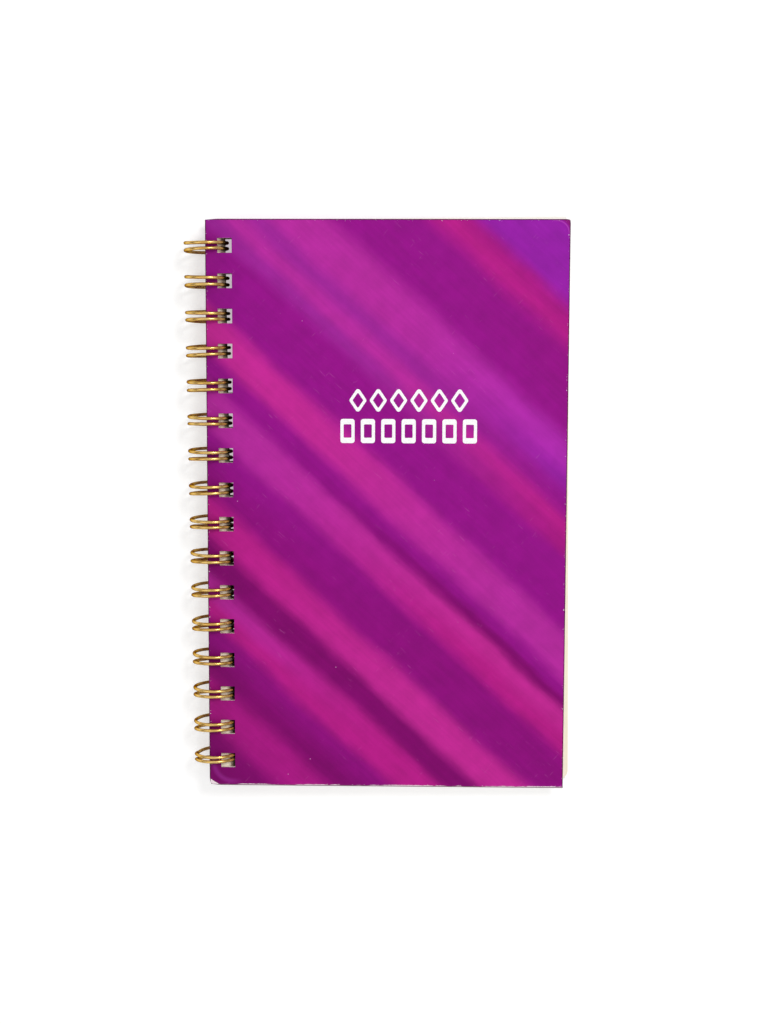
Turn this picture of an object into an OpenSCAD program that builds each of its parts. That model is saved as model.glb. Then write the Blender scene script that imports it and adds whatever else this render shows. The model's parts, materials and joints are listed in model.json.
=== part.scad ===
// Weekly planner, bound on the left with a twin-loop wire.
//
// The planner lies closed with its front cover up. +X points from the spine to the
// open edge, +Y to the head of the pages and +Z out of the front cover. Every piece
// is drawn about the middle of the ring axis, which runs along Y, and placed() then
// moves it, so that the origin is below the middle of the whole planner.
// Each leaf and cover turns about the ring axis.

/* [Covers] */
// Width of a cover, from its spine edge to its open edge
cover_w = 132; // [120:1:145]
// Height of a cover, from head to foot
cover_h = 209.5; // [207:0.5:214]
// Thickness of the cover board
board_t = 1.2; // [0.8:0.05:1.2]
// Spine edge of the back cover, measured from the ring axis
back_spine_x = -0.6; // [-0.7:0.05:-0.2]
// Spine edge of the front cover, measured from the ring axis at mid-height
front_spine_x = -0.99; // [-1.02:0.01:-0.96]
// Angle by which the loose front cover has swung on the rings, clockwise from above
front_swing = 0.7; // [0:0.01:0.71]

/* [Leaves] */
// Number of week leaves
week_count = 52; // [13:1:52]
// Width of a leaf
leaf_w = 129.5; // [115:0.5:130]
// Height of a leaf
leaf_h = 206; // [200:0.5:208]
// Thickness of the paper
paper_t = 0.12; // [0.08:0.01:0.12]
// Height that each leaf takes in the stack, with the air between leaves
leaf_pitch = 0.124; // [0.122:0.001:0.124]
// Radius of a leaf's outer corners
leaf_corner_r = 2; // [1:0.5:5]
// Height of the back cover's inner face, measured from the ring axis
block_bottom_z = -2.7; // [-2.75:0.01:-2.68]

/* [Holes] */
// Number of wire loops, each with one hole in every sheet
loop_count = 16; // [14:1:16]
// Distance from one loop to the next
loop_pitch = 12.7; // [12.7:0.1:12.9]
// Width of a hole, across the spine
hole_w = 5.2; // [5.2:0.1:5.6]
// Height of a hole, along the spine
hole_h = 5.3; // [5.3:0.1:5.6]
// Paper or board left between a hole and the spine edge
hole_inset = 4.4; // [4.2:0.1:4.5]
// Play between the rings and the holes of the leaves
hole_play = 0.15; // [0.12:0.01:0.2]

/* [Wire] */
// Diameter of the wire
wire_d = 1.2; // [1:0.1:1.2]
// Radius of a ring at the middle of its wire
ring_r = 7.65; // [7.6:0.01:7.7]
// Distance between the two wires of a loop at the top and at the tip
top_gap = 2.2; // [2:0.1:2.4]
// Distance between the two wires of a loop at the bottom
bottom_gap = 3.8; // [3.4:0.1:3.8]
// Bend radius where a loop turns into the straight link to the next loop
elbow_r = 1.2; // [1:0.1:1.4]
// Angle below the open edge's side at which the tip of a loop ends
tip_angle = 56; // [54:1:58]
// Angle from a loop's tip to the foot of the same loop
seam_angle = 7.5; // [7.5:0.1:9]
// Length of the cut end on the first and the last loop
cut_end = 1.4; // [0.5:0.1:2]

/* [Hidden] */
leaf_count = week_count + 2;
block_t = leaf_count * leaf_pitch;
front_z = block_bottom_z + block_t;
wire_r = wire_d / 2;
ring_inner_r = ring_r - wire_r;

// Each bend ends in a short collar, a little thicker than the wire, and a straight
// length of wire starts inside it. Straight lengths of at least joint_l part the bends.
collar_r = wire_r + 0.03;
collar_l = 0.2;
joint_l = 0.1;

// A polygon's own corner keeps a thin leaf flat on every side
corner_sides = 12;
wire_sides = 40;
ring_sides = 96;
elbow_sides = 48;

// The two wires of a loop spread from the top to the bottom, because each ring leans
lean = atan((bottom_gap - top_gap) / 4 / ring_r);
lean_r = ring_r / cos(lean);
lean_y = (top_gap + bottom_gap) / 4;

// Where the tip's straight starts and where the foot ends, from +X towards +Z
tip_start = -tip_angle + arc_angle(top_gap / 2 + joint_l, ring_r);
foot_end = 360 - tip_angle - seam_angle - arc_angle(joint_l, ring_r);

// The foot of a side, the way the wire points there, and the bend from it to the link
foot = [lean_r * cos(foot_end) - joint_l, lean_y - lean_r * sin(foot_end) * sin(lean),
        lean_r * sin(foot_end) * cos(lean)];
foot_yaw = asin(-cos(foot_end) * sin(lean));
foot_pitch = atan2(cos(foot_end) * cos(lean), -sin(foot_end));
level_ahead = [cos(foot_pitch), 0, sin(foot_pitch)];
foot_ahead = cos(foot_yaw) * level_ahead + [0, sin(foot_yaw), 0];
elbow_centre = foot + joint_l * foot_ahead - elbow_r * sin(foot_yaw) * level_ahead
               + [0, elbow_r * cos(foot_yaw), 0];
link_start = elbow_centre + elbow_r * level_ahead;
link_length = loop_pitch - 2 * link_start[1];

// The front cover turns about the middle of its row of holes
hole_line = hole_inset + hole_w / 2;
front_pivot_x = front_spine_x + hole_line;

// The box round the whole planner, from the rings and the swung front cover
box_left = -joint_l - lean_r - wire_r;
box_right = front_pivot_x + (cover_w - hole_line) * cos(front_swing)
            + cover_h / 2 * sin(front_swing);
box_head = hole_line * sin(front_swing) + cover_h / 2 * cos(front_swing);
box_foot = -(cover_w - hole_line) * sin(front_swing) - cover_h / 2 * cos(front_swing);
box_bottom = -ring_r - wire_r;

cream = [0.95, 0.92, 0.83];
purple = [0.60, 0.10, 0.55];
dark_purple = [0.42, 0.08, 0.40];
gold = [0.85, 0.70, 0.38];

// The angle that a length takes on a bend
function arc_angle(length, radius) = length / radius * 180 / PI;
function loop_y(i) = (i - (loop_count - 1) / 2) * loop_pitch;
// The leaves hang on the rings, so a leaf's spine edge depends on its height
function leaf_spine_x(z) = sqrt(ring_inner_r * ring_inner_r - z * z) - hole_play - hole_inset;
function leaf_z(place) = block_bottom_z + place * leaf_pitch + (leaf_pitch - paper_t) / 2;
function two_digits(n) = str(n < 10 ? "0" : "", n);
function week_name(week) = str("week_leaf_", two_digits(week));

module placed() {
    translate([-(box_left + box_right) / 2, -(box_head + box_foot) / 2, -box_bottom])
        children();
}

// ---- sheets ----

module hole_row() {
    for (i = [0 : loop_count - 1])
        translate([hole_inset, loop_y(i) - hole_h / 2])
            square([hole_w, hole_h]);
}

module board() {
    linear_extrude(height = board_t)
        difference() {
            translate([0, -cover_h / 2])
                square([cover_w, cover_h]);
            hole_row();
        }
}

module leaf_outline() {
    translate([0, -leaf_h / 2])
        square([leaf_w - leaf_corner_r, leaf_h]);
    translate([0, -leaf_h / 2 + leaf_corner_r])
        square([leaf_w, leaf_h - 2 * leaf_corner_r]);
    for (side = [-1, 1])
        translate([leaf_w - leaf_corner_r, side * (leaf_h / 2 - leaf_corner_r)])
            circle(r = leaf_corner_r, $fn = corner_sides);
}

// A leaf, by its place in the stack: 0 is the one on the back cover
module leaf(place) {
    z = leaf_z(place);
    color(cream)
        placed()
            translate([leaf_spine_x(z + paper_t / 2), 0, z])
                linear_extrude(height = paper_t)
                    difference() {
                        leaf_outline();
                        hole_row();
                    }
}

module front_cover() {
    color(purple)
        placed()
            translate([front_pivot_x, 0, front_z])
                rotate([0, 0, -front_swing])
                    translate([-hole_line, 0, 0])
                        board();
}

module back_cover() {
    color(dark_purple)
        placed()
            translate([back_spine_x, 0, block_bottom_z - board_t])
                board();
}

module title_leaf() {
    leaf(leaf_count - 1);
}

// Week 1 is on top, just below the title leaf
module week_leaf(week) {
    leaf(leaf_count - 1 - week);
}

module notes_leaf() {
    leaf(0);
}

// ---- wire ----

// Wire bent in the XY plane round the origin, without collars
module round_bend(radius, from, to, thickness_r, sides) {
    rotate_extrude(angle = to - from, start = from, $fn = sides)
        translate([radius, 0])
            circle(r = thickness_r, $fn = wire_sides);
}

// The same bend with a collar at each end
module bent_wire(radius, from, to, sides) {
    collar = arc_angle(collar_l, radius);
    round_bend(radius, from + collar / 2, to - collar / 2, wire_r, sides);
    round_bend(radius, from, from + collar, collar_r, sides);
    round_bend(radius, to - collar, to, collar_r, sides);
}

// Straight wire along +X, from inside one collar to inside the next
module straight_wire(length) {
    inset = collar_l / 4;
    translate([-inset, 0, 0])
        rotate([0, 90, 0])
            cylinder(h = length + 2 * inset, r = wire_r, $fn = wire_sides);
}

// The side of a loop towards +Y: from the tip over the top and down to the foot, then
// out to the link
module loop_side() {
    translate([ring_r * cos(tip_start), top_gap / 2, ring_r * sin(tip_start)])
        rotate([0, 90 - tip_start, 0])
            straight_wire(joint_l);
    translate([0, top_gap / 2, 0])
        rotate([90, 0, 0])
            bent_wire(ring_r, tip_start, 90, ring_sides);
    translate([-joint_l, top_gap / 2, ring_r])
        straight_wire(joint_l);
    translate([-joint_l, lean_y, 0])
        rotate([90 + lean, 0, 0])
            bent_wire(lean_r, 90, foot_end, ring_sides);
    translate(foot)
        rotate([0, -foot_pitch, 0])
            rotate([0, 0, foot_yaw])
                straight_wire(joint_l);
    translate(elbow_centre)
        rotate([0, -foot_pitch, 0])
            bent_wire(elbow_r, foot_yaw - 90, 0, elbow_sides);
}

// The hairpin that joins the two sides of a loop
module loop_tip() {
    translate([ring_r * cos(tip_start), 0, ring_r * sin(tip_start)])
        rotate([0, 90 - tip_start, 0])
            translate([joint_l, 0, 0])
                bent_wire(top_gap / 2, -90, 90, elbow_sides);
}

module wire_loop() {
    loop_side();
    mirror([0, 1, 0])
        loop_side();
    loop_tip();
}

// A straight length of wire along +Y, from the elbow's end
module link(length) {
    translate(link_start)
        rotate([0, 0, 90])
            straight_wire(length);
}

module binding_wire() {
    color(gold)
        placed()
            union() {
                for (i = [0 : loop_count - 1])
                    translate([0, loop_y(i), 0])
                        wire_loop();
                for (i = [0 : loop_count - 2])
                    translate([0, loop_y(i), 0])
                        link(link_length);
                translate([0, loop_y(loop_count - 1), 0])
                    link(cut_end);
                mirror([0, 1, 0])
                    translate([0, loop_y(loop_count - 1), 0])
                        link(cut_end);
            }
}

front_cover();
back_cover();
binding_wire();
title_leaf();
for (week = [1 : week_count])
    week_leaf(week);
notes_leaf();
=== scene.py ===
"""The looks of a twin-loop wire-bound weekly planner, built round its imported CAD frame.

The boards and the wire are new pieces that stand for their CAD nodes, and the leaves are
the CAD nodes themselves. Lengths are in millimetres up to the point where a mesh is made,
and are measured from the ring axis at the middle of its length unless a comment says
otherwise.
"""

import json
import math

import bmesh
import bpy
from mathutils import Matrix, Vector


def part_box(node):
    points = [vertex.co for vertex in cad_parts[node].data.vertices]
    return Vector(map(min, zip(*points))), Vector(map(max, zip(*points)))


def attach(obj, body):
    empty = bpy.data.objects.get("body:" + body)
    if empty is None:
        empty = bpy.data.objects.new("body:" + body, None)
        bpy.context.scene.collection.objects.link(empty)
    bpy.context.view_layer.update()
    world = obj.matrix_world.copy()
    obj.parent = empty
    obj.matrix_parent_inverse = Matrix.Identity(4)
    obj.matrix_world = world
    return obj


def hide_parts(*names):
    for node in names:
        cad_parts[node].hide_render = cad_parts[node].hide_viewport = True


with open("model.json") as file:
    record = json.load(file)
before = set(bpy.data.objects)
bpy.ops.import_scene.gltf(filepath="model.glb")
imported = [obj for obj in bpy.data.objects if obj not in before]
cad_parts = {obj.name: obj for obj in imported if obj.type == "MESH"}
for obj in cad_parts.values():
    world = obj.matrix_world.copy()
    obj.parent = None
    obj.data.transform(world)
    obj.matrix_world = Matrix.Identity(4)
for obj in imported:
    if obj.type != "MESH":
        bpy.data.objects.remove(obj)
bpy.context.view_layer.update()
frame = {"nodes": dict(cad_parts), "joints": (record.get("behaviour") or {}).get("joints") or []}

MM = 0.001
HINGE = next(joint for joint in frame["joints"] if joint["name"] == "open_front_cover")
RING_AXIS = Vector(HINGE["pos_m"])


def in_row(point):
    """A point in millimetres from the ring axis, in the row frame in metres."""
    return RING_AXIS + Vector(point) * MM


def box_mm(node):
    """A CAD node's lowest and highest corners, in millimetres from the ring axis."""
    low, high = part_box(node)
    return (low - RING_AXIS) / MM, (high - RING_AXIS) / MM


# ---- sizes, as in the CAD source ----

COVER_W = 132.0
COVER_H = 209.5
BOARD_T = 1.2
SWING = math.radians(0.7)    # how far the front cover has turned, clockwise from above

LOOPS = 16
PITCH = 12.7
HOLE_W = 5.2
HOLE_H = 5.3
HOLE_INSET = 4.4

WIRE_R = 0.6
RING_R = 7.65
TOP_GAP = 2.2
BOTTOM_GAP = 3.8
ELBOW_R = 1.2
STRAIGHT = 0.1
TIP_ANGLE = math.radians(56)
SEAM_ANGLE = math.radians(7.5)
CUT_END = 1.4


def loop_y(index):
    """Where a loop is along the row. Loop 0 is the one at the foot."""
    return (index - (LOOPS - 1) / 2) * PITCH


# ---- node graphs ----

def rgb(red, green, blue):
    """A colour from 0 to 255 as the eye sees it, as Blender's linear colour."""
    def linear(value):
        value /= 255
        return value / 12.92 if value <= 0.04045 else ((value + 0.055) / 1.055) ** 2.4
    return (linear(red), linear(green), linear(blue), 1.0)


class Graph:
    """A material and short ways to add the nodes that this script uses."""

    def __init__(self, name):
        self.material = bpy.data.materials.new(name)
        self.material.use_nodes = True
        self.tree = self.material.node_tree
        self.shader = self.tree.nodes["Principled BSDF"]

    def node(self, kind, **settings):
        made = self.tree.nodes.new(kind)
        for key, value in settings.items():
            setattr(made, key, value)
        return made

    def feed(self, socket, value):
        """Links an output to a socket, or sets the socket to a plain value."""
        if isinstance(value, bpy.types.NodeSocket):
            self.tree.links.new(value, socket)
        else:
            socket.default_value = value

    def place(self):
        """Where a point is on the piece at rest, in metres in the row frame."""
        return self.node("ShaderNodeTexCoord").outputs["Object"]

    def wall(self):
        """1 on upright faces, such as the side of a hole, and 0 on level ones."""
        normal = self.node("ShaderNodeTexCoord").outputs["Normal"]
        return self.math("LESS_THAN", self.math("ABSOLUTE", self.split(normal)[2]), 0.5)

    def math(self, operation, *values):
        made = self.node("ShaderNodeMath", operation=operation)
        for socket, value in zip(made.inputs, values):
            self.feed(socket, value)
        return made.outputs[0]

    def distance_along(self, place, start, direction):
        """How far place is from start in that direction, in millimetres."""
        offset = self.node("ShaderNodeVectorMath", operation="SUBTRACT")
        self.feed(offset.inputs[0], place)
        offset.inputs[1].default_value = start
        made = self.node("ShaderNodeVectorMath", operation="DOT_PRODUCT")
        self.feed(made.inputs[0], offset.outputs[0])
        made.inputs[1].default_value = Vector(direction) / MM
        return made.outputs["Value"]

    def vector(self, *parts):
        made = self.node("ShaderNodeCombineXYZ")
        for socket, value in zip(made.inputs, parts):
            self.feed(socket, value)
        return made.outputs[0]

    def split(self, vector):
        made = self.node("ShaderNodeSeparateXYZ")
        self.feed(made.inputs[0], vector)
        return made.outputs[0], made.outputs[1], made.outputs[2]

    def noise(self, vector, scale, detail=2.0, roughness=0.5):
        """Smooth noise. Where it lies on a plane, the third part only picks a pattern."""
        made = self.node("ShaderNodeTexNoise")
        self.feed(made.inputs["Vector"], vector)
        made.inputs["Scale"].default_value = scale
        made.inputs["Detail"].default_value = detail
        made.inputs["Roughness"].default_value = roughness
        return made.outputs[0]

    def ease(self, value, low, high, out_low=0.0, out_high=1.0):
        """A smooth step from out_low to out_high as value goes from low to high."""
        made = self.node("ShaderNodeMapRange", interpolation_type="SMOOTHSTEP")
        for socket, given in zip(made.inputs, (value, low, high, out_low, out_high)):
            self.feed(socket, given)
        return made.outputs[0]

    def mix(self, share, first, second, blend="MIX"):
        made = self.node("ShaderNodeMix", data_type="RGBA", blend_type=blend)
        self.feed(made.inputs["Factor"], share)
        self.feed(made.inputs[6], first)
        self.feed(made.inputs[7], second)
        return made.outputs[2]

    def ramp(self, value, stops):
        """Colours by value, from (place from 0 to 1, colour) pairs."""
        made = self.node("ShaderNodeValToRGB")
        made.color_ramp.interpolation = "EASE"
        elements = made.color_ramp.elements
        while len(elements) < len(stops):
            elements.new(1.0)
        for element, (place, colour) in zip(elements, stops):
            element.position = place
            element.color = colour
        self.feed(made.inputs[0], value)
        return made.outputs[0]

    def bump(self, height, distance, strength):
        """Makes the surface look uneven. distance is in millimetres."""
        made = self.node("ShaderNodeBump")
        made.inputs["Strength"].default_value = strength
        made.inputs["Distance"].default_value = distance * MM
        self.feed(made.inputs["Height"], height)
        self.feed(self.shader.inputs["Normal"], made.outputs[0])

    def set(self, **sockets):
        """Feeds the shader's sockets, named with _ for each space."""
        for name, value in sockets.items():
            self.feed(self.shader.inputs[name.replace("_", " ")], value)


# ---- the laminate's colours ----

VIOLET = rgb(151, 27, 166)
BRIGHT_VIOLET = rgb(178, 42, 182)
ORCHID = rgb(184, 42, 159)
HEATHER = rgb(162, 36, 154)
MAGENTA = rgb(198, 40, 150)
ROSE = rgb(187, 27, 138)
WINE = rgb(172, 21, 132)
PLUM = rgb(151, 13, 138)
DEEP_PLUM = rgb(145, 8, 126)
DARK_PLUM = rgb(132, 2, 109)

# The colours of wear on the print, of the darker rim, and of painted shade and highlight
# Painted shade on a bent tip, and a painted highlight beside its crease
BENT_TIP_SHADE = rgb(132, 18, 74)
CREASE_HIGHLIGHT = rgb(206, 92, 190)
CURL = rgb(178, 60, 176)
PRESSED = rgb(172, 62, 160)
SCUFF = rgb(214, 110, 190)
NICK = rgb(226, 150, 206)
# Painted shadow between the two wires of each loop
WIRE_SHADOW = rgb(104, 8, 66)
BARE_BOARD = rgb(252, 238, 242)
DARK_RIM = rgb(74, 20, 56)

BAND_ANGLE = math.radians(42.5)
BAND_REACH = 120.0    # half the width that the band colours are spread over
SPINE_SHADE = 20.0    # how far the painted shade along the spine reaches

BENT_R = 5.0          # where the corner at head and edge is creased, with painted shade and a painted highlight
CURL_R = 9.0          # where the corner at foot and spine is creased
TORN_SLOPE = 1.7      # how much wider than high the tear at foot and spine is
TORN_REACH = 3.2

# Soft diagonal bands: millimetres from the cover's centre towards its upper right, with
# the colour that a band has at its upper left end and at its lower right end. A colour
# ramp holds no more than these 32 stops.
BANDS = [
    (-109, DARK_PLUM, DARK_PLUM),
    (-100, WINE, WINE),
    (-95, WINE, WINE),
    (-87, DARK_PLUM, DARK_PLUM),
    (-78, DEEP_PLUM, DEEP_PLUM),
    (-72, ROSE, ROSE),
    (-66, ORCHID, ROSE),
    (-60, DARK_PLUM, DARK_PLUM),
    (-56, DARK_PLUM, DARK_PLUM),
    (-50, ROSE, MAGENTA),
    (-45, ROSE, MAGENTA),
    (-38, DEEP_PLUM, DEEP_PLUM),
    (-26, PLUM, DEEP_PLUM),
    (-20, ORCHID, ROSE),
    (-13, ORCHID, MAGENTA),
    (-8, PLUM, DARK_PLUM),
    (-5, PLUM, PLUM),
    (1, MAGENTA, ORCHID),
    (7, MAGENTA, ORCHID),
    (14, PLUM, PLUM),
    (28, PLUM, PLUM),
    (34, HEATHER, WINE),
    (39, ORCHID, ROSE),
    (45, HEATHER, PLUM),
    (52, ORCHID, VIOLET),
    (59, ORCHID, BRIGHT_VIOLET),
    (67, PLUM, PLUM),
    (83, PLUM, DEEP_PLUM),
    (92, ROSE, WINE),
    (96, WINE, WINE),
    (102, VIOLET, VIOLET),
    (115, VIOLET, VIOLET),
]


def hypotenuse(g, first, second):
    """The length of an offset with these two parts."""
    squares = g.math("MULTIPLY", first, first), g.math("MULTIPLY", second, second)
    return g.math("SQRT", g.math("ADD", *squares))


def corner_arc(g, first_edge, second_edge, radius):
    """How far a point is from the middle of a corner's arc, and 1 near that corner only."""
    first = g.math("MAXIMUM", g.math("SUBTRACT", radius, first_edge), 0.0)
    second = g.math("MAXIMUM", g.math("SUBTRACT", radius, second_edge), 0.0)
    farther = g.math("MAXIMUM", first_edge, second_edge)
    return hypotenuse(g, first, second), g.ease(farther, radius * 0.8, radius * 1.5, 1.0, 0.0)


def line_at(g, value, middle, half_width, strength):
    """strength where value is at middle, fading to 0 over half_width on each side."""
    off = g.math("ABSOLUTE", g.math("SUBTRACT", value, middle))
    return g.ease(off, 0.0, half_width, strength, 0.0)


def band_colour(g, s, t):
    """The soft diagonal bands, which wander a little and have uneven edges."""
    stretched = g.vector(g.math("MULTIPLY", s, 0.3), t, 0.0)
    wander = g.math("SUBTRACT", g.noise(stretched, 0.05, 1.0), 0.5)
    uneven = g.math("SUBTRACT", g.noise(stretched, 0.22, 3.0), 0.5)
    moved = g.math("ADD", t, g.math("MULTIPLY", wander, 4.0))
    moved = g.math("ADD", moved, g.math("MULTIPLY", uneven, 3.0))
    share = g.math("ADD", g.math("DIVIDE", moved, 2 * BAND_REACH), 0.5)
    upper = g.ramp(share, [(mm / (2 * BAND_REACH) + 0.5, first) for mm, first, _ in BANDS])
    lower = g.ramp(share, [(mm / (2 * BAND_REACH) + 0.5, last) for mm, _, last in BANDS])
    return g.mix(g.ease(s, -60.0, 70.0), upper, lower)


def print_level_and_spine_shade(g, u, v, s, t):
    """How light the print is: clouds, fine streaks, a darker foot, and painted shade along the
    spine.
    """
    cloud = g.ease(g.noise(g.vector(u, v, 0.0), 0.12, 4.0, 0.6), 0.25, 0.75, 0.87, 1.0)
    streak = g.noise(g.vector(g.math("MULTIPLY", s, 0.05), t, 9.0), 0.8, 3.0, 0.6)
    streak = g.ease(streak, 0.3, 0.7, 0.95, 1.03)
    foot_shade = g.ease(v, -100.0, 60.0, 0.96, 1.0)
    # Painted shade along the spine, by the rings
    spine_shade = g.ease(u, -COVER_W / 2, -COVER_W / 2 + SPINE_SHADE, 0.84, 1.0)
    shade = g.math("MULTIPLY", foot_shade, spine_shade)
    return g.math("MULTIPLY", g.math("MULTIPLY", cloud, streak), shade)


def off_loop(g, along_row):
    """How far a point is, along the row, from the middle of the nearest loop."""
    turns = g.math("ADD", g.math("DIVIDE", along_row, PITCH), 0.5)
    return g.math("MULTIPLY", g.math("PINGPONG", turns, 0.5), PITCH)


def shadow_between_wires(g, from_spine, v):
    """The strip from the spine to a hole between the two wires of each loop, painted darker as
    their shadow.
    """
    strip = g.ease(off_loop(g, v), TOP_GAP / 2, TOP_GAP / 2 + 0.8, 1.0, 0.0)
    return g.math("MULTIPLY", strip, g.ease(from_spine, HOLE_INSET, HOLE_INSET + 1.0, 1.0, 0.0))


def scuff_marks(g, u, v, s, t):
    """Hair-thin scuffs in two directions, and tiny pale nicks."""
    first = g.noise(g.vector(g.math("MULTIPLY", s, 0.10), t, 3.0), 1.6, 2.0, 0.6)
    second = g.noise(g.vector(s, g.math("MULTIPLY", t, 0.14), 8.0), 1.3, 2.0, 0.6)
    scuffs = g.math("MAXIMUM", g.ease(first, 0.66, 0.74), g.ease(second, 0.68, 0.76))
    patches = g.ease(g.noise(g.vector(u, v, 5.0), 0.06, 2.0), 0.45, 0.65)
    cells = g.node("ShaderNodeTexVoronoi")
    g.feed(cells.inputs["Vector"], g.vector(u, v, 0.0))
    cells.inputs["Scale"].default_value = 0.11
    speck = g.ease(cells.outputs["Distance"], 0.012, 0.028, 1.0, 0.0)
    chosen = g.ease(g.split(cells.outputs["Color"])[0], 0.55, 0.62)
    return g.math("MULTIPLY", scuffs, patches), g.math("MULTIPLY", speck, chosen)


def worn_corners_and_painted_light(g, colour, from_spine, from_edge, from_head, from_foot):
    """The front cover's creased corners: head and edge, foot and spine, foot and edge. The bent tip
    at head and edge has painted shade, and the inside of its crease a painted highlight.
    """
    bent, near = corner_arc(g, from_edge, from_head, BENT_R)
    # Painted shade on the bent-up tip at head and edge
    colour = g.mix(g.ease(bent, BENT_R - 0.4, BENT_R + 0.4, 0.0, 0.55), colour, BENT_TIP_SHADE)
    # A painted highlight just inside the crease
    crease = g.math("MULTIPLY", line_at(g, bent, BENT_R - 0.5, 0.35, 0.36), near)
    colour = g.mix(crease, colour, CREASE_HIGHLIGHT)
    curled, near = corner_arc(g, from_spine, from_foot, CURL_R)
    crease = g.math("MULTIPLY", line_at(g, curled, CURL_R - 1.6, 1.6, 0.25), near)
    colour = g.mix(crease, colour, CURL)
    pressed = g.math("ADD", from_edge, g.math("MULTIPLY", from_foot, 1.3))
    return g.mix(g.ease(pressed, 2.0, 2.5, 0.6, 0.0), colour, PRESSED)


def laminate(name, centre, turn, foot_wear, handled):
    """A printed board's satin film: soft diagonal bands, scuffs, wear along the rim, a darker rim,
    and painted shade along the spine and between the wires.

    centre is the board's middle in the row frame, and turn is how far it has turned,
    clockwise from above. foot_wear is the width of the pale line along the foot, in
    millimetres. handled is whether the corners are creased, with painted shade and a painted
    highlight at head and edge, and the one at foot and spine is torn.

    u and v run from centre towards the open edge and the head, and s and t along the
    bands and across them.
    """
    g = Graph(name)
    place = g.place()
    turned = Matrix.Rotation(-turn, 3, "Z")
    u = g.distance_along(place, centre, turned @ Vector((1, 0, 0)))
    v = g.distance_along(place, centre, turned @ Vector((0, 1, 0)))
    across = Vector((math.sin(BAND_ANGLE), math.cos(BAND_ANGLE), 0))
    along = Vector((math.cos(BAND_ANGLE), -math.sin(BAND_ANGLE), 0))
    t = g.distance_along(place, centre, turned @ across)
    s = g.distance_along(place, centre, turned @ along)
    from_spine = g.math("ADD", u, COVER_W / 2)
    from_edge = g.math("SUBTRACT", COVER_W / 2, u)
    from_head = g.math("SUBTRACT", COVER_H / 2, v)
    from_foot = g.math("ADD", v, COVER_H / 2)
    rim = g.math("MINIMUM", g.math("MINIMUM", from_spine, from_edge),
                 g.math("MINIMUM", from_head, from_foot))

    level = print_level_and_spine_shade(g, u, v, s, t)
    colour = g.mix(1.0, band_colour(g, s, t), g.vector(level, level, level), "MULTIPLY")
    scuffs, specks = scuff_marks(g, u, v, s, t)
    colour = g.mix(g.math("MULTIPLY", scuffs, 0.16), colour, SCUFF)
    colour = g.mix(g.math("MULTIPLY", specks, 0.75), colour, NICK)
    # Painted shadow of each loop's two wires on the film between them
    wire_shadow = g.math("MULTIPLY", shadow_between_wires(g, from_spine, v), 0.55)
    colour = g.mix(wire_shadow, colour, WIRE_SHADOW)
    if handled:
        colour = worn_corners_and_painted_light(g, colour, from_spine, from_edge, from_head, from_foot)

    # A pale line where the film has rubbed through along the foot, and pale nicks
    ragged = g.noise(g.vector(u, v, 2.0), 1.4, 4.0, 0.65)
    patchy = g.noise(g.vector(u, v, 6.0), 0.10, 3.0, 0.6)
    reach = g.math("MULTIPLY", g.ease(patchy, 0.42, 0.58), foot_wear)
    reach = g.math("ADD", g.math("MULTIPLY", reach, g.ease(ragged, 0.3, 0.6, 0.7, 1.1)), 0.3)
    worn = g.math("LESS_THAN", from_foot, reach)
    nick_reach = g.ease(ragged, 0.60, 0.68, 0.0, 0.75)
    worn = g.math("MAXIMUM", worn, g.math("LESS_THAN", rim, nick_reach))
    if handled:
        # The slanting side of the torn corner is a part of the rim
        diagonal = g.math("ADD", from_spine, g.math("MULTIPLY", from_foot, TORN_SLOPE))
        torn = g.math("SUBTRACT", diagonal, g.math("MULTIPLY", ragged, 2.0))
        worn = g.math("MAXIMUM", worn, g.math("LESS_THAN", torn, TORN_REACH))
        rim = g.math("MINIMUM", rim, g.math("DIVIDE", g.math("SUBTRACT", diagonal, 0.95), 2.0))
    colour = g.mix(g.math("MULTIPLY", worn, 0.85), colour, BARE_BOARD)

    # Darker along the rim
    colour = g.mix(g.ease(rim, 0.2, 0.5, 0.85, 0.0), colour, DARK_RIM)

    rough = g.ease(g.noise(g.vector(u, v, 1.0), 0.25, 3.0), 0.3, 0.7, 0.36, 0.46)
    rough = g.math("ADD", rough, g.math("MULTIPLY", scuffs, 0.12))
    rough = g.math("MAXIMUM", rough, g.math("MULTIPLY", worn, 0.85))
    g.set(Base_Color=colour, Roughness=rough)
    g.shader.inputs["Specular IOR Level"].default_value = 0.08

    grain = g.noise(g.vector(u, v, 0.0), 1.1, 3.0, 0.6)
    height = g.math("SUBTRACT", g.math("MULTIPLY", grain, 0.5), g.math("MULTIPLY", scuffs, 0.3))
    height = g.math("SUBTRACT", height, worn)
    g.bump(height, 0.03, 0.5)
    return g.material


# ---- board, wire and foil ----

# The two tones that each surface drifts between
FIBRES = rgb(236, 222, 220), rgb(250, 243, 238)
WHITES = rgb(240, 237, 234), rgb(243, 241, 238)
GOLDS = rgb(216, 170, 88), rgb(236, 200, 124)
FOILS = rgb(246, 243, 246), rgb(255, 255, 255)

STAINED_FIBRE = rgb(176, 96, 150)
WHITE_FLECK = rgb(224, 220, 216)
DULL_GOLD = rgb(170, 118, 50)
# Tarnish and painted shade low down, and painted shade in the holes
TARNISH_AND_SHADE = rgb(112, 82, 40)
GOLD_SHADE_IN_HOLES = rgb(72, 44, 26)
GOLD_TINT = rgb(120, 84, 40)


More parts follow.
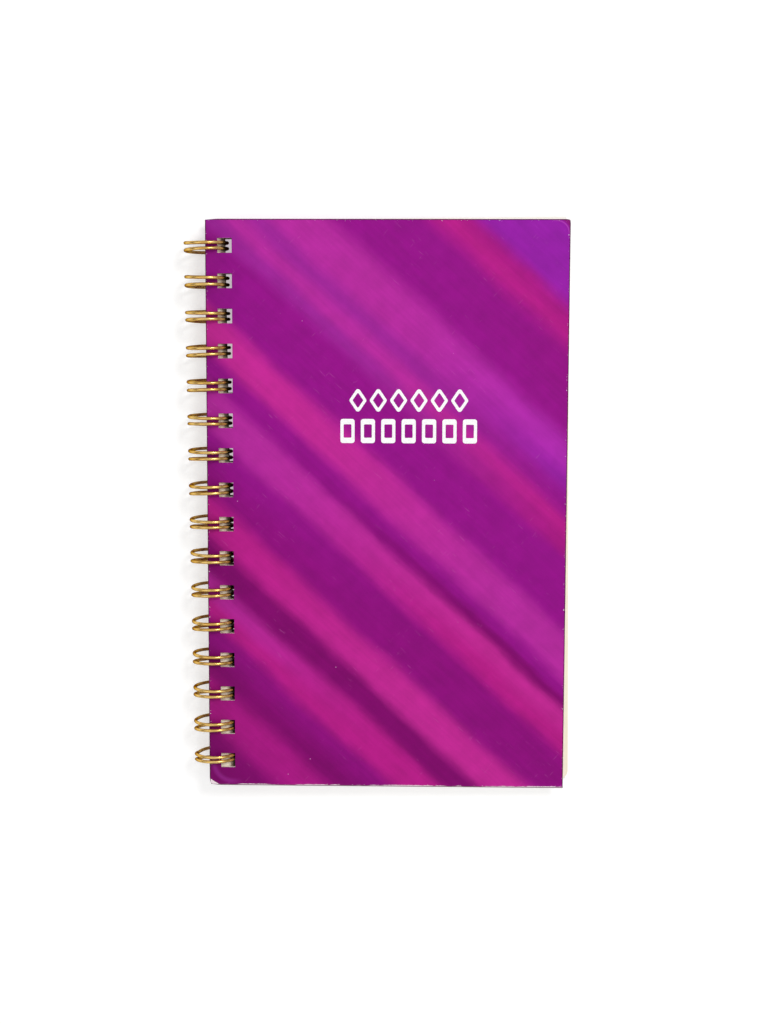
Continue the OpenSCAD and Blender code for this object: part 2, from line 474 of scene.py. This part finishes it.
def card_core():
    """The cut edge of a board: pale pressed fibres in thin layers."""
    g = Graph("card_core")
    x, y, z = g.split(g.place())
    layers = g.noise(g.vector(x, y, g.math("MULTIPLY", z, 12.0)), 900.0, 3.0, 0.6)
    stain = g.noise(g.place(), 220.0, 3.0, 0.6)
    colour = g.mix(g.ease(layers, 0.3, 0.7), *FIBRES)
    colour = g.mix(g.ease(stain, 0.52, 0.70, 0.0, 0.5), colour, STAINED_FIBRE)
    g.set(Base_Color=colour, Roughness=g.ease(layers, 0.3, 0.7, 0.8, 0.95))
    g.bump(layers, 0.05, 0.6)
    return g.material


def inner_face():
    """The plain white lining inside a board."""
    g = Graph("inner_face")
    fibre = g.noise(g.place(), 1400.0, 4.0, 0.7)
    cloud = g.noise(g.place(), 60.0, 3.0, 0.5)
    colour = g.mix(g.ease(cloud, 0.3, 0.7), *WHITES)
    colour = g.mix(g.ease(fibre, 0.45, 0.75, 0.0, 0.25), colour, WHITE_FLECK)
    g.set(Base_Color=colour, Roughness=g.ease(fibre, 0.3, 0.7, 0.62, 0.78))
    g.bump(fibre, 0.02, 0.4)
    return g.material


def gold_wire():
    """Gold-coloured plated wire, drawn and satin, a little uneven."""
    g = Graph("gold_wire")
    place = g.place()
    cloud = g.noise(place, 160.0, 3.0, 0.55)
    fine = g.noise(place, 2600.0, 2.0, 0.6)
    tone = g.mix(g.ease(cloud, 0.3, 0.7), *GOLDS)
    tone = g.mix(g.ease(fine, 0.55, 0.8, 0.0, 0.35), tone, DULL_GOLD)

    # Duller and darker low down, as tarnish and painted shade, and painted shade where it runs
    # through the holes
    z = g.distance_along(place, RING_AXIS, (0, 0, 1))
    tone = g.mix(g.ease(z, -6.0, 1.0, 0.6, 0.0), tone, TARNISH_AND_SHADE)
    x = g.distance_along(place, RING_AXIS, (1, 0, 0))
    shade_in_holes = g.math("MULTIPLY", g.ease(x, 4.6, 6.0, 0.0, 0.85), g.ease(z, 2.6, 5.4, 1.0, 0.0))
    tone = g.mix(shade_in_holes, tone, GOLD_SHADE_IN_HOLES)
    g.set(Base_Color=tone, Roughness=g.ease(cloud, 0.3, 0.7, 0.19, 0.28))
    g.shader.inputs["Metallic"].default_value = 1.0
    g.shader.inputs["Specular Tint"].default_value = GOLD_TINT
    g.bump(fine, 0.01, 0.25)
    return g.material


def white_foil():
    """The opaque white print of the cover's plain outlines."""
    g = Graph("white_foil")
    grain = g.noise(g.place(), 1800.0, 3.0, 0.6)
    colour = g.mix(g.ease(grain, 0.35, 0.65), *FOILS)
    g.set(Base_Color=colour, Roughness=g.ease(grain, 0.3, 0.7, 0.32, 0.42))
    g.bump(grain, 0.01, 0.4)
    return g.material


# ---- paper ----

CREAMS = rgb(240, 231, 212), rgb(243, 235, 217)
PAPER_FLECK = rgb(226, 214, 192)
INK = rgb(150, 118, 148)
PALE_INK = rgb(206, 190, 200)
# Painted shade in the holes
HOLE_SHADE = rgb(92, 54, 36)

# The sides of a page's printed area, from the ring axis. Its foot is as far as its head.
PAGE_SPINE = 14.0
PAGE_EDGE = 124.0
PAGE_HEAD = 96.0

DAY_ROWS = 7
DAYS_HEAD = PAGE_HEAD - 12.0    # the top of the first day's box
STRIP_H = 8.0                   # the tinted strip above the days
DAY_COLUMN = 18.0               # the narrow column at the start of each day's box

TITLE_FRAME = (50.0, 88.0)      # half the width and height of the title page's frame

HOLES_END = 12.6                # past the far sides of the holes, from the ring axis


def inside(g, value, low, high):
    """1 where value is from low to high, and 0 elsewhere."""
    return g.math("MULTIPLY", g.math("GREATER_THAN", value, low), g.math("LESS_THAN", value, high))


def rules(g, value, spacing, width, start=0.0):
    """1 on lines of that width, spacing apart, and 0 between them."""
    shifted = g.math("ADD", value, spacing / 2 - start)
    in_cell = g.math("FLOORED_MODULO", shifted, spacing)
    off_line = g.math("ABSOLUTE", g.math("SUBTRACT", in_cell, spacing / 2))
    return g.math("LESS_THAN", off_line, width / 2)


def both(g, first, second):
    """1 where two masks are both 1."""
    return g.math("MULTIPLY", first, second)


def either(g, *masks):
    """1 where any of the masks is 1."""
    total = masks[0]
    for mask in masks[1:]:
        total = g.math("MAXIMUM", total, mask)
    return total


def page_area(g, x, y):
    """1 in the printed area of a page, and 0 in its margins."""
    return both(g, inside(g, x, PAGE_SPINE, PAGE_EDGE), inside(g, y, -PAGE_HEAD, PAGE_HEAD))


def week_print(g, x, y):
    """Seven ruled boxes with a narrow column for each day, under a tinted strip."""
    area = page_area(g, x, y)
    row = (PAGE_HEAD + DAYS_HEAD) / DAY_ROWS
    column_at = PAGE_SPINE + DAY_COLUMN
    days = g.math("LESS_THAN", y, DAYS_HEAD + 0.4)
    boxes = both(g, rules(g, y, row, 0.45, -PAGE_HEAD), days)
    column = both(g, inside(g, x, column_at - 0.15, column_at + 0.15), days)
    fine = both(g, rules(g, y, row / 4, 0.16, -PAGE_HEAD), g.math("GREATER_THAN", x, column_at + 2))
    strip = g.math("GREATER_THAN", y, PAGE_HEAD - STRIP_H)
    strong = both(g, area, either(g, boxes, column))
    pale = both(g, area, either(g, both(g, fine, days), strip))
    return strong, pale


def notes_print(g, x, y):
    """A grid of small dots, 5 mm apart."""
    dots = both(g, rules(g, x, 5.0, 0.4, PAGE_SPINE), rules(g, y, 5.0, 0.4))
    return both(g, page_area(g, x, y), dots), 0.0


def title_print(g, x, y):
    """A plain double frame and three lines to write on."""
    middle = (PAGE_SPINE + PAGE_EDGE) / 2
    off_x = g.math("ABSOLUTE", g.math("SUBTRACT", x, middle))
    off_y = g.math("ABSOLUTE", y)
    half_w, half_h = TITLE_FRAME
    past = g.math("MAXIMUM", g.math("SUBTRACT", off_x, half_w), g.math("SUBTRACT", off_y, half_h))
    frames = either(g, inside(g, past, -0.3, 0.3), inside(g, past, -2.2, -1.95))
    to_write_on = both(g, g.math("LESS_THAN", off_x, 32.0), inside(g, y, -40.0, -10.0))
    return frames, both(g, rules(g, y, 12.0, 0.3), to_write_on)


def painted_hole_shade(g, x, y):
    """Painted shade on the sides of the holes, and on the paper inside the rings beside them."""
    at_hole = g.math("LESS_THAN", off_loop(g, y), HOLE_H / 2 + 0.1)
    sides = both(g, g.wall(), g.ease(x, HOLES_END, HOLES_END + 0.5, 0.85, 0.0))
    inside_rings = g.math("LESS_THAN", x, RING_R - WIRE_R)
    rubbed_corner_and_hole_shade = both(g, g.ease(x, 4.4, 6.2, 0.05, 0.75), inside_rings)
    return both(g, at_hole, either(g, sides, rubbed_corner_and_hole_shade))


def paper(name, draw_print):
    """Cream paper with fine fibre, lightly printed on both faces.

    draw_print returns two masks, one for the strong print and one for the pale.
    """
    g = Graph(name)
    place = g.place()
    x = g.distance_along(place, RING_AXIS, (1, 0, 0))
    y = g.distance_along(place, RING_AXIS, (0, 1, 0))
    fibre = g.noise(place, 1500.0, 4.0, 0.7)
    cloud = g.noise(place, 45.0, 3.0, 0.5)
    colour = g.mix(g.ease(cloud, 0.3, 0.7), *CREAMS)
    colour = g.mix(g.ease(fibre, 0.5, 0.8, 0.0, 0.3), colour, PAPER_FLECK)
    strong, pale = draw_print(g, x, y)
    colour = g.mix(g.math("MULTIPLY", pale, 0.6), colour, PALE_INK)
    colour = g.mix(g.math("MULTIPLY", strong, 0.85), colour, INK)
    # Painted shade in the holes
    colour = g.mix(painted_hole_shade(g, x, y), colour, HOLE_SHADE)
    g.set(Base_Color=colour, Roughness=g.ease(fibre, 0.3, 0.7, 0.75, 0.88))
    g.shader.inputs["Specular IOR Level"].default_value = 0.3
    g.bump(fibre, 0.02, 0.3)
    return g.material


def give_leaves_paper():
    """Puts paper on the CAD leaves. All the week leaves share one material."""
    week = paper("week_paper", week_print)
    for name, node in frame["nodes"].items():
        if name.startswith("week_leaf"):
            node.material_slots[0].material = week
    frame["nodes"]["title_leaf"].material_slots[0].material = paper("title_paper", title_print)
    frame["nodes"]["notes_leaf"].material_slots[0].material = paper("notes_paper", notes_print)


# ---- meshes ----

def add_piece(name, mesh, materials, body, smooth_below):
    """A new piece that rides on a body, smooth at edges of less than smooth_below degrees."""
    for material in materials:
        mesh.materials.append(material)
    mesh.polygons.foreach_set("use_smooth", [True] * len(mesh.polygons))
    mesh.set_sharp_from_angle(angle=math.radians(smooth_below))
    piece = bpy.data.objects.new(name, mesh)
    bpy.context.scene.collection.objects.link(piece)
    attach(piece, body)
    return piece


# ---- boards ----

FILM, CORE, LINING = 0, 1, 2    # a board's three materials
MESH_STEP = 4.0                 # the most between two grid lines
RIM_STEPS = (0.0, 0.3, 0.8, 1.6, 2.8, 4.4)    # closer grid lines along every edge
RIM_ROUND = 0.14
LEAST_GAP = 0.01                # grid lines closer than this become one


def spaced(low, high, step):
    """Evenly spaced values from low to high, no more than step apart."""
    count = max(1, math.ceil((high - low) / step))
    return [low + (high - low) * i / count for i in range(count + 1)]


def merged(values):
    """Sorted values, each more than LEAST_GAP from the next."""
    kept = []
    for value in sorted(values):
        if not kept or value - kept[-1] > LEAST_GAP:
            kept.append(value)
    return kept


def board_lines():
    """The grid lines of a board: u from its spine edge, v from the middle of its height."""
    hole_sides = [HOLE_INSET, HOLE_INSET + HOLE_W]
    us = list(RIM_STEPS) + [COVER_W - step for step in RIM_STEPS]
    us += hole_sides + spaced(hole_sides[1], COVER_W - RIM_STEPS[-1], MESH_STEP)
    vs = [side * (COVER_H / 2 - step) for side in (-1, 1) for step in RIM_STEPS]
    for i in range(LOOPS):
        vs += spaced(loop_y(i) - HOLE_H / 2, loop_y(i) + HOLE_H / 2, MESH_STEP)
        if i < LOOPS - 1:
            vs += spaced(loop_y(i) + HOLE_H / 2, loop_y(i + 1) - HOLE_H / 2, MESH_STEP)
    return merged(us), merged(vs)


def in_hole(u, v):
    """Whether a point of a board, given as in board_lines, is inside a hole."""
    if not HOLE_INSET < u < HOLE_INSET + HOLE_W:
        return False
    return any(abs(v - loop_y(i)) < HOLE_H / 2 for i in range(LOOPS))


def board_mesh(name, to_row):
    """A punched board. to_row takes (u, v, w) to the row frame, w from the inner face out."""
    us, vs = board_lines()
    bm = bmesh.new()
    corners = {}

    def corner(i, j, w):
        if (i, j, w) not in corners:
            corners[i, j, w] = bm.verts.new((us[i], vs[j], w))
        return corners[i, j, w]

    cells = {
        (i, j)
        for i in range(len(us) - 1)
        for j in range(len(vs) - 1)
        if not in_hole((us[i] + us[i + 1]) / 2, (vs[j] + vs[j + 1]) / 2)
    }
    for i, j in sorted(cells):
        loop = [(i, j), (i + 1, j), (i + 1, j + 1), (i, j + 1)]
        bm.faces.new([corner(*at, BOARD_T) for at in loop]).material_index = FILM
        bm.faces.new([corner(*at, 0.0) for at in reversed(loop)]).material_index = LINING
        for side, beyond in enumerate([(i, j - 1), (i + 1, j), (i, j + 1), (i - 1, j)]):
            if beyond not in cells:
                first, second = loop[side], loop[(side + 1) % 4]
                wall = [corner(*first, 0.0), corner(*second, 0.0),
                        corner(*second, BOARD_T), corner(*first, BOARD_T)]
                bm.faces.new(wall).material_index = CORE

    rims = [e for e in bm.edges if {f.material_index for f in e.link_faces} == {FILM, CORE}]
    bmesh.ops.bevel(bm, geom=rims, offset=RIM_ROUND, segments=2, profile=0.5,
                    affect="EDGES", material=FILM)
    for vert in bm.verts:
        vert.co = to_row(*vert.co)
    bmesh.ops.recalc_face_normals(bm, faces=bm.faces)
    mesh = bpy.data.meshes.new(name)
    bm.to_mesh(mesh)
    bm.free()
    return mesh


def fading(distance, reach):
    """1 at no distance, falling evenly to 0 at reach."""
    return max(0.0, 1 - distance / reach)


def front_worn(u, v, w):
    """The front cover's handled corners, each worn in its own way."""
    spine, edge = u, COVER_W - u
    foot, head = COVER_H / 2 + v, COVER_H / 2 - v
    height = w / BOARD_T

    # Head and edge: bent up, with its point nipped
    bent = fading(math.hypot(edge, head), 4.5)
    w += 0.45 * bent * bent
    nipped = 0.25 * fading(edge + head, 1.2)
    u -= nipped
    v -= nipped

    # Head and spine: dented
    v -= 0.35 * fading(spine, 4.0) * fading(head, 1.5)

    # Foot and spine: its point rubbed off
    rubbed_corner_and_hole_shade = fading(spine + TORN_SLOPE * foot, 3.6)
    u += 0.45 * rubbed_corner_and_hole_shade
    v += 0.30 * rubbed_corner_and_hole_shade
    w -= 0.35 * rubbed_corner_and_hole_shade * height

    # Foot and edge: bent up a little
    w += 0.2 * fading(edge + foot, 3.5)
    return u, v, w


def front_board(lining, core):
    """The front cover. Returns its middle and the height of its face."""
    low, high = box_mm("front_cover")
    middle = (low + high) / 2
    turn = Matrix.Rotation(-SWING, 3, "Z")

    def to_row(u, v, w):
        u, v, w = front_worn(u, v, w)
        flat = turn @ Vector((u - COVER_W / 2, v, 0))
        return in_row((middle.x + flat.x, middle.y + flat.y, low.z + w))

    film = laminate("front_film", in_row(middle), turn=SWING, foot_wear=0.3, handled=True)
    piece = add_piece("front_board", board_mesh("front_board", to_row), [film, core, lining],
                      "front", smooth_below=50)
    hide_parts("front_cover")
    return middle, high.z


def back_board(lining, core):
    low, high = box_mm("back_cover")
    middle = (low + high) / 2

    def to_row(u, v, w):
        return in_row((low.x + u, middle.y + v, high.z - w))

    film = laminate("back_film", in_row(middle), turn=0.0, foot_wear=0.2, handled=False)
    piece = add_piece("back_board", board_mesh("back_board", to_row), [film, core, lining],
                      "binding", smooth_below=50)
    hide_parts("back_cover")


# ---- the cover's plain outlines ----

FOIL_T = 0.03           # the foil's thickness
FOIL_GAP = 0.004        # between the cover and the foil's underside
STROKE = 1.15           # the width of an outline's stroke
OUTER_ROUND = 0.9       # the radius of an outline's outer and inner corners
INNER_ROUND = 0.35
CORNER_STEPS = 4

MOTIF_H = 9.6           # a diamond's height, before its corners are rounded
MOTIF_X = 8.0           # the middle of both rows, from the cover's middle
MOTIF_Y = 33.8
ROW_STEP = 11.2         # from one row to the next

# How many outlines each row has, and how wide the row is
DIAMOND_ROW = 6, 44.8
UPRIGHT_ROW = 7, 52.4

# The corners of each kind of outline, in halves of MOTIF_H from its middle
DIAMOND = [(-0.68, 0.0), (0.0, -1.0), (0.68, 0.0), (0.0, 1.0)]
UPRIGHT = [(-0.54, -0.92), (0.54, -0.92), (0.54, 0.92), (-0.54, 0.92)]


def rounded(points, radius):
    """A closed outline with an arc at each corner."""
    outline = []
    for before, point, after in zip(points[-1:] + points[:-1], points, points[1:] + points[:1]):
        back, ahead = (before - point).normalized(), (after - point).normalized()
        half = back.angle(ahead) / 2
        start = point + back * radius / math.tan(half)
        centre = point + (back + ahead).normalized() * radius / math.sin(half)
        arm = start - centre
        sweep = (math.pi - 2 * half) * (1 if back.cross(ahead) < 0 else -1)
        for step in range(CORNER_STEPS + 1):
            angle = sweep * step / CORNER_STEPS
            c, s = math.cos(angle), math.sin(angle)
            outline.append(centre + Vector((arm.x * c - arm.y * s, arm.x * s + arm.y * c)))
    return outline


def add_outline(bm, centre, corners, to_row):
    """One closed stroke, raised by the foil's thickness."""
    half = min(corners[i].lerp(corners[i - 1], 0.5).length for i in range(len(corners)))
    inner_size = (half - STROKE) / half
    outer = rounded(corners, OUTER_ROUND)
    inner = rounded([p * inner_size for p in corners], INNER_ROUND)
    count = len(outer)
    rings = []
    for outline, level in ((outer, 0.0), (outer, 1.0), (inner, 1.0), (inner, 0.0)):
        rings.append([bm.verts.new(to_row(centre + p, level)) for p in outline])
    for a, b in zip(rings, rings[1:] + rings[:1]):
        for i in range(count):
            bm.faces.new([a[i - 1], a[i], b[i], b[i - 1]])


def cover_motif(middle, top_z, foil):
    """Two rows of plain outlines: six diamonds above seven upright frames."""
    turn = Matrix.Rotation(-SWING, 3, "Z")

    def to_row(point, level):
        flat = turn @ Vector((point.x, point.y, 0))
        z = top_z + FOIL_GAP + FOIL_T * level
        return in_row((middle.x + flat.x, middle.y + flat.y, z))

    def row(name, count, width, y, shape):
        """width is the whole row's, taking an outline to be 0.8 of MOTIF_H wide."""
        bm = bmesh.new()
        corners = [Vector(corner) * (MOTIF_H / 2) for corner in shape]
        step = (width - MOTIF_H * 0.8) / (count - 1)
        for i in range(count):
            centre = Vector((MOTIF_X + (i - (count - 1) / 2) * step, y))
            add_outline(bm, centre, corners, to_row)
        bmesh.ops.recalc_face_normals(bm, faces=bm.faces)
        mesh = bpy.data.meshes.new(name)
        bm.to_mesh(mesh)
        bm.free()
        add_piece(name, mesh, [foil], "front", smooth_below=40)

    row("motif_diamonds", *DIAMOND_ROW, MOTIF_Y + ROW_STEP / 2, DIAMOND)
    row("motif_frames", *UPRIGHT_ROW, MOTIF_Y - ROW_STEP / 2, UPRIGHT)


# ---- the wire ----

RING_STEP = math.radians(6)     # the most between two points on a ring
BEND_STEP = math.radians(18)    # the same on an elbow or a hairpin
WIRE_SIDES = 14
CLOSE = 0.02                    # points closer than this become one
END_BEVEL = 0.08                # the length of the bevel on a cut end
END_SIZE = 0.85                 # the share of the wire's radius that a cut end keeps


def arc(start, end, step):
    """Angles from start to end, both included, no more than step apart."""
    count = max(1, math.ceil(abs(end - start) / step))
    return [start + (end - start) * i / count for i in range(count + 1)]


def loop_half():
    """Half a loop towards +Y: from beside the tip over the top, down to the foot, and out."""
    lean = math.atan((BOTTOM_GAP - TOP_GAP) / 4 / RING_R)
    lean_r = RING_R / math.cos(lean)
    lean_y = (TOP_GAP + BOTTOM_GAP) / 4
    tip = -TIP_ANGLE + (TOP_GAP / 2 + STRAIGHT) / RING_R
    foot_at = 2 * math.pi - TIP_ANGLE - SEAM_ANGLE - STRAIGHT / RING_R
    points = [
        Vector((RING_R * math.cos(a), TOP_GAP / 2, RING_R * math.sin(a)))
        for a in arc(tip, math.pi / 2, RING_STEP)
    ]
    points += [
        Vector((lean_r * math.cos(a) - STRAIGHT, lean_y - lean_r * math.sin(a) * math.sin(lean),
                lean_r * math.sin(a) * math.cos(lean)))
        for a in arc(math.pi / 2, foot_at, RING_STEP)
    ]
    ahead = Vector((-math.sin(foot_at), -math.cos(foot_at) * math.sin(lean),
                    math.cos(foot_at) * math.cos(lean)))
    level = Vector((ahead.x, 0, ahead.z)).normalized()
    yaw = math.asin(ahead.y)
    sideways = Vector((0, 1, 0))
    centre = points[-1] + ahead * STRAIGHT
    centre += sideways * ELBOW_R * math.cos(yaw) - level * ELBOW_R * math.sin(yaw)
    points += [
        centre + ELBOW_R * (level * math.cos(a) + sideways * math.sin(a))
        for a in arc(yaw - math.pi / 2, 0.0, BEND_STEP)
    ]
    return points, tip


def hairpin(tip):
    """The bend at a loop's tip, from its -Y side to its +Y side."""
    down = Vector((math.sin(tip), 0, -math.cos(tip)))
    centre = Vector((RING_R * math.cos(tip), 0, RING_R * math.sin(tip))) + down * STRAIGHT
    radius = TOP_GAP / 2
    return [
        centre + radius * (Vector((0, math.sin(a), 0)) + down * math.cos(a))
        for a in arc(-math.pi / 2, math.pi / 2, BEND_STEP)
    ]


def hand_bent(index, point):
    """Small differences between the loops, well inside the holes.

    Nothing moves at the bottom of a loop, where share is 0.
    """
    share = min(1.0, max(0.0, (point.z + RING_R) / 5.0))
    # The loops near the foot lean towards the head, and loop 0 is pressed together
    if index == 0:
        spread = 0.74
        pushed = 0.8
    else:
        spread = 1 + 0.09 * math.sin(2.3 * index + 0.8)
        pushed = 0.35 * max(0.0, 1 - index / 6)
    pushed *= min(1.0, max(0.0, (point.z + 2.5) / 5.0))
    turned = 0.16 * math.sin(1.7 * index + 0.4) * point.x / RING_R
    y = point.y * (1 + (spread - 1) * share) + turned * share + pushed
    return Vector((point.x, y, point.z))


def wire_path():
    """The one wire's centreline, from its cut end at the foot to that at the head."""
    half, tip = loop_half()
    mirrored = [Vector((p.x, -p.y, p.z)) for p in reversed(half)]
    one_loop = mirrored + hairpin(tip) + half
    path = []
    for i in range(LOOPS):
        centre = Vector((0, loop_y(i), 0))
        path += [centre + hand_bent(i, p) for p in one_loop]
    path.insert(0, path[0] - Vector((0, CUT_END, 0)))
    path.append(path[-1] + Vector((0, CUT_END, 0)))
    return [p for i, p in enumerate(path) if i == 0 or (p - path[i - 1]).length > CLOSE]


def tube_mesh(name, path, radius):
    """A round tube along a path, its ends cut square with a fine bevel."""
    bm = bmesh.new()
    tangents = []
    for i in range(len(path)):
        before, after = path[max(0, i - 1)], path[min(len(path) - 1, i + 1)]
        tangents.append((after - before).normalized())
    side = tangents[0].orthogonal().normalized()
    around = [2 * math.pi * k / WIRE_SIDES for k in range(WIRE_SIDES)]
    rings = []

    def add_ring(centre, tangent, across, size):
        up = tangent.cross(across)
        rings.append([
            bm.verts.new(in_row(centre + size * (across * math.cos(a) + up * math.sin(a))))
            for a in around
        ])

    # The full width starts a bevel's length inside each end
    centres = list(path)
    centres[0] = path[0] + tangents[0] * END_BEVEL
    centres[-1] = path[-1] - tangents[-1] * END_BEVEL
    add_ring(path[0], tangents[0], side, radius * END_SIZE)
    for i, centre in enumerate(centres):
        if i > 0:
            side = tangents[i - 1].rotation_difference(tangents[i]) @ side
        add_ring(centre, tangents[i], side, radius)
    add_ring(path[-1], tangents[-1], side, radius * END_SIZE)
    for a, b in zip(rings, rings[1:]):
        for k in range(WIRE_SIDES):
            bm.faces.new([a[k - 1], a[k], b[k], b[k - 1]])
    bm.faces.new(rings[0])
    bm.faces.new(rings[-1])
    bmesh.ops.recalc_face_normals(bm, faces=bm.faces)
    mesh = bpy.data.meshes.new(name)
    bm.to_mesh(mesh)
    bm.free()
    return mesh


def wire():
    """The whole binding as one bent wire."""
    mesh = tube_mesh("twin_loop_wire", wire_path(), WIRE_R)
    piece = add_piece("twin_loop_wire", mesh, [gold_wire()], "binding", smooth_below=50)
    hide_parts("binding_wire")


# ---- floor, light and camera ----

FLOOR_GLOW = 0.46
FLOOR_SIZE = 6.0        # in metres
FLOOR_GAP = 0.02        # below the rings

# Each light's place in metres, its width in metres and its power in watts
KEY = ((0.55, 0.65, 1.25), 0.4, 7.5)
FILL = ((-1.0, -0.4, 1.0), 1.0, 1.0)

# How bright the surroundings are, by the upward part of a direction
SKY = [
    (0.0, 0.45), (0.12, 0.45), (0.22, 0.15), (0.48, 0.15),
    (0.62, 0.575), (0.88, 0.575), (0.96, 0.35),
]
SKY_STRENGTH = 1.72


def floor():
    """A pale floor that the rings and the back board's free edge both touch."""
    back_low, back_high = box_mm("back_cover")
    slope = math.atan2(back_low.z + RING_R + WIRE_R, back_high.x)
    g = Graph("floor")
    speckle = g.noise(g.place(), 300.0, 3.0)
    g.set(Base_Color=g.mix(speckle, rgb(205, 205, 205), rgb(208, 208, 208)))
    g.shader.inputs["Emission Color"].default_value = (1, 1, 1, 1)
    g.shader.inputs["Emission Strength"].default_value = FLOOR_GLOW
    g.shader.inputs["Roughness"].default_value = 0.9
    g.shader.inputs["Specular IOR Level"].default_value = 0.1
    bpy.ops.mesh.primitive_plane_add(size=FLOOR_SIZE)
    plane = bpy.context.object
    plane.name = "floor"
    plane.data.materials.append(g.material)
    plane.rotation_euler = (0, -slope, 0)
    plane.location = in_row((0, 0, -RING_R - WIRE_R - FLOOR_GAP))


def area_light(name, place, size, power):
    """A round light that faces the middle of the floor below the object."""
    light = bpy.data.lights.new(name, "AREA")
    light.shape = "DISK"
    light.size = size
    light.energy = power
    lamp = bpy.data.objects.new(name, light)
    lamp.location = place
    lamp.rotation_euler = (-Vector(place)).to_track_quat("-Z", "Y").to_euler()
    bpy.context.scene.collection.objects.link(lamp)


def studio():
    """Pale light all round with a dark band above the horizon, a key and a weak fill."""
    area_light("key", *KEY)
    area_light("fill", *FILL)
    world = bpy.data.worlds.new("studio")
    world.use_nodes = True
    tree = world.node_tree
    split = tree.nodes.new("ShaderNodeSeparateXYZ")
    sky = tree.nodes.new("ShaderNodeValToRGB")
    elements = sky.color_ramp.elements
    while len(elements) < len(SKY):
        elements.new(1.0)
    for element, (height, level) in zip(elements, SKY):
        element.position = height
        element.color = (level, level, level, 1)
    around = tree.nodes.new("ShaderNodeTexCoord").outputs["Generated"]
    tree.links.new(around, split.inputs[0])
    tree.links.new(split.outputs["Z"], sky.inputs[0])
    tree.links.new(sky.outputs[0], tree.nodes["Background"].inputs["Color"])
    tree.nodes["Background"].inputs["Strength"].default_value = SKY_STRENGTH
    bpy.context.scene.world = world
    bpy.context.scene.view_settings.view_transform = "Standard"


# Almost straight above the front cover, in millimetres from the ring axis
CAMERA_AT = (79.05, 60.26, 598.9)
CAMERA_AIM = (64.05, -2.24, 5.2)
CAMERA_ROLL = math.radians(-0.55)
CAMERA_LENS = 57.14
SENSOR_W = 36.0


def camera():
    """Looks down on the front cover, a little turned and tilted."""
    data = bpy.data.cameras.new("camera")
    data.lens = CAMERA_LENS
    data.sensor_width = SENSOR_W
    view = bpy.data.objects.new("camera", data)
    back = (Vector(CAMERA_AT) - Vector(CAMERA_AIM)).normalized()
    head_up = (Vector((0, 1, 0)) - back * back.y).normalized()
    up = Matrix.Rotation(CAMERA_ROLL, 3, back) @ head_up
    turn = Matrix((up.cross(back), up, back)).transposed()
    view.matrix_world = Matrix.Translation(in_row(CAMERA_AT)) @ turn.to_4x4()
    bpy.context.scene.collection.objects.link(view)
    bpy.context.scene.camera = view


camera()
core, lining = card_core(), inner_face()
front_middle, front_top = front_board(lining, core)
back_board(lining, core)
cover_motif(front_middle, front_top, white_foil())
wire()
give_leaves_paper()
floor()
studio()
